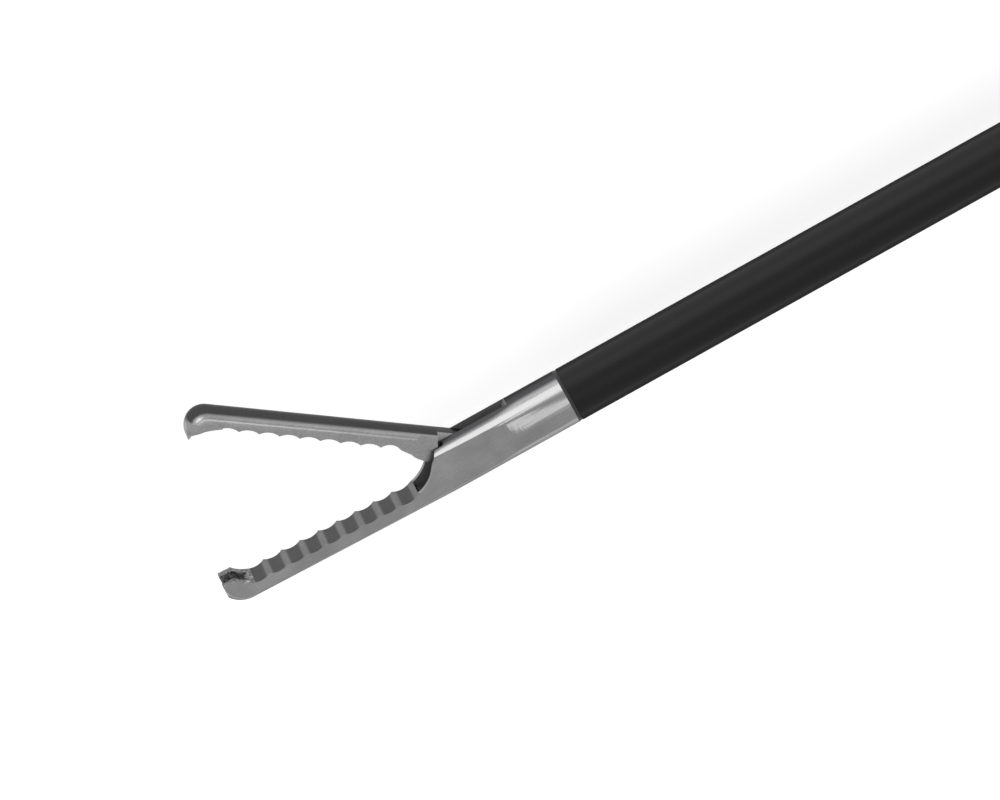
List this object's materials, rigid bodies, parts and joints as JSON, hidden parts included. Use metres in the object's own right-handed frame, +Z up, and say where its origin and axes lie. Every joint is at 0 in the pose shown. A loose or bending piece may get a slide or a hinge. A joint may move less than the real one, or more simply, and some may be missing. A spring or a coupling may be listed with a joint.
{
  "type": "laparoscopic grasper",
  "caption": "Slim insulated keyhole-surgery grasper: a serrated jaw with a hooked tooth opens from a clevis and closes when the thumb lever is squeezed.",
  "frame": {"origin": "on the shaft's axis where the insulated shaft leaves the collar with the cleaning port", "axes": "-X along the shaft to the jaws, +X to the handle, +Y the way the jaw opens, +Z up as the instrument lies on its side, along the jaw's pivot"},
  "size_m": [0.4529, 0.1198, 0.02],
  "materials": {
    "stainless_satin": "satin brushed stainless steel with polished edges",
    "stainless_polished": "bright machined stainless steel",
    "insulation": "charcoal insulation with a soft sheen",
    "handle_black": "black moulded handle plastic, finely textured",
    "knob_black": "black moulded plastic",
    "seal_rubber": "black seal rubber",
    "cap_silicone": "dark grey silicone",
    "bush_bronze": "sintered bronze",
    "connector_plated": "plated connector metal",
    "collar_plastic": "grey black insulating plastic"
  },
  "bodies": {
    "handle": {"handle_shell_left": "handle_black", "handle_shell_right": "handle_black", "shell_screws": "stainless_polished", "lever_pivot_pin": "stainless_polished", "connector_pin": "connector_plated", "connector_collar": "collar_plastic", "contact_spring": "connector_plated"},
    "shaft": {"fixed_jaw_clevis": "stainless_satin", "jaw_pivot_pin": "stainless_satin", "outer_tube": "stainless_polished", "insulation_sleeve": "insulation", "flush_hub": "stainless_polished", "hub_o_rings": "seal_rubber", "rotation_knob": "knob_black", "knob_grub_screws": "stainless_polished", "shaft_collar": "stainless_polished", "friction_ring": "seal_rubber", "seal_cap": "stainless_polished", "rod_seal": "seal_rubber"},
    "port_cap": {"flush_port_cap": "cap_silicone"},
    "drive": {"rod_fork": "stainless_polished", "drive_pin": "stainless_polished", "drive_rod": "stainless_polished", "rod_ball_end": "stainless_polished"},
    "jaw": {"moving_jaw": "stainless_satin"},
    "lever": {"thumb_lever": "handle_black", "ball_seat": "stainless_polished", "lever_bush": "bush_bronze"}
  },
  "joints": [
    {"name": "thumb_lever", "type": "hinge", "parent": "handle", "child": "lever", "pos_m": [0.068, -0.00599, 0], "axis": [0, 0, -1], "range_deg": [0, 13.5]},
    {"name": "shaft_rotation", "type": "hinge", "parent": "handle", "child": "shaft", "pos_m": [0, 0, 0], "axis": [1, 0, 0], "continuous": true},
    {"name": "rod_slide", "type": "slide", "parent": "shaft", "child": "drive", "axis": [1, 0, 0], "range_m": [0, 0.00141]},
    {"name": "jaw_hinge", "type": "hinge", "parent": "shaft", "child": "jaw", "pos_m": [-0.3043, 0.0009, 0], "axis": [0, 0, 1], "range_deg": [0, 34.56]},
    {"name": "cap_pull", "type": "slide", "parent": "shaft", "child": "port_cap", "axis": [0, 1, 0], "range_m": [0, 0.008]}
  ],
  "couplings": [
    {"joint": "rod_slide", "follows": "thumb_lever", "m_per_rad": 0.0059861},
    {"joint": "jaw_hinge", "follows": "thumb_lever", "ratio": 2.5601}
  ]
}
